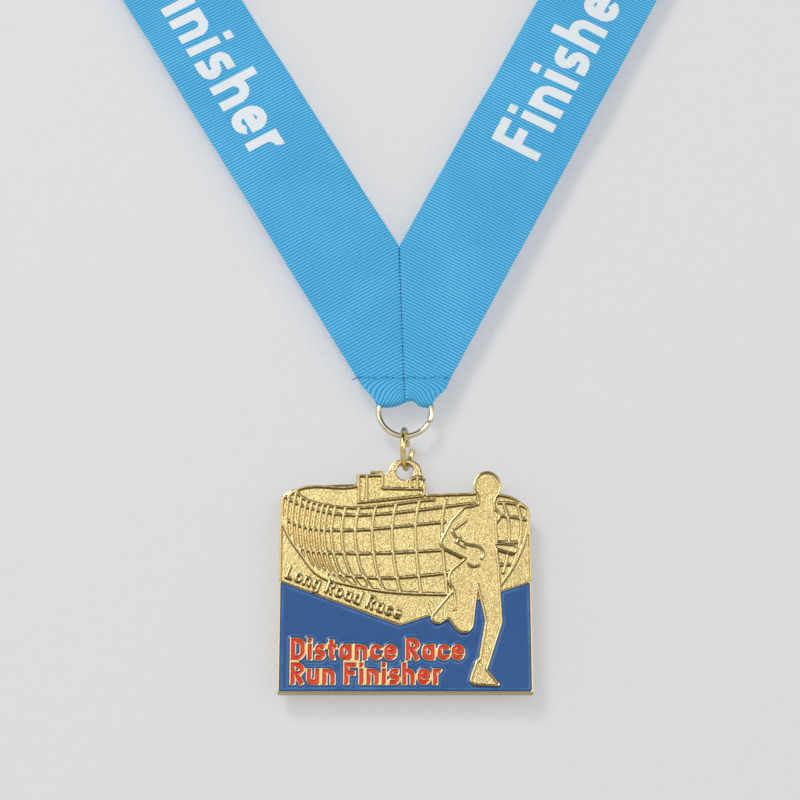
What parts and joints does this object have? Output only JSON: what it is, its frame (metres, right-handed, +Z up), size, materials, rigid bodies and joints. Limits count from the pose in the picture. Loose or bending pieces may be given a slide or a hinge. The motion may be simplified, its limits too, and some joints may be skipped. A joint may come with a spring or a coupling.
{
  "type": "sports finisher medal",
  "caption": "Gold cast finisher medal with blue and red enamel, a lug and two open rings on a folded light blue neck ribbon.",
  "frame": {"origin": "centre of the medal's flat back face", "axes": "+Z up along the ribbon as worn, front of the medal towards -Y, +X to the right of a person looking at the front"},
  "size_m": [0.2264, 0.1094, 0.323],
  "materials": {
    "gold_plate": "gold plated zinc casting, sand-blasted fields and polished ridges",
    "ring_wire": "polished pale gold wire",
    "blue_enamel": "gloss soft enamel",
    "red_enamel": "gloss soft enamel",
    "ribbon": "grosgrain weave",
    "print": "screen print ink",
    "thread": "sewing thread"
  },
  "bodies": {
    "ribbon": {"neck_ribbon": "ribbon", "ribbon_print": "print", "cross_stitching": "thread", "mitre_stitching": "thread"},
    "tip": {"ribbon_tip": "ribbon"},
    "large_ring": {"ribbon_ring": "ring_wire"},
    "link": {"link_ring": "ring_wire"},
    "medal": {"medal_plate": "gold_plate", "blue_enamel": "blue_enamel", "red_enamel": "red_enamel"}
  },
  "joints": [
    {"name": "tip_flex", "type": "hinge", "parent": "ribbon", "child": "tip", "pos_m": [0, -0.0015, 0.0485], "axis": [1, 0, 0], "range_deg": [-35, 35]},
    {"name": "ring_turn", "type": "hinge", "parent": "tip", "child": "large_ring", "pos_m": [0, -0.0015, 0.04115], "axis": [0, 1, 0], "continuous": true},
    {"name": "link_swing", "type": "hinge", "parent": "tip", "child": "link", "pos_m": [0, -0.0015, 0.03518], "axis": [1, 0, 0], "range_deg": [-75, 75]},
    {"name": "medal_swing", "type": "hinge", "parent": "link", "child": "medal", "pos_m": [0, -0.0015, 0.02778], "axis": [0, 1, 0], "range_deg": [-50, 50]}
  ]
}
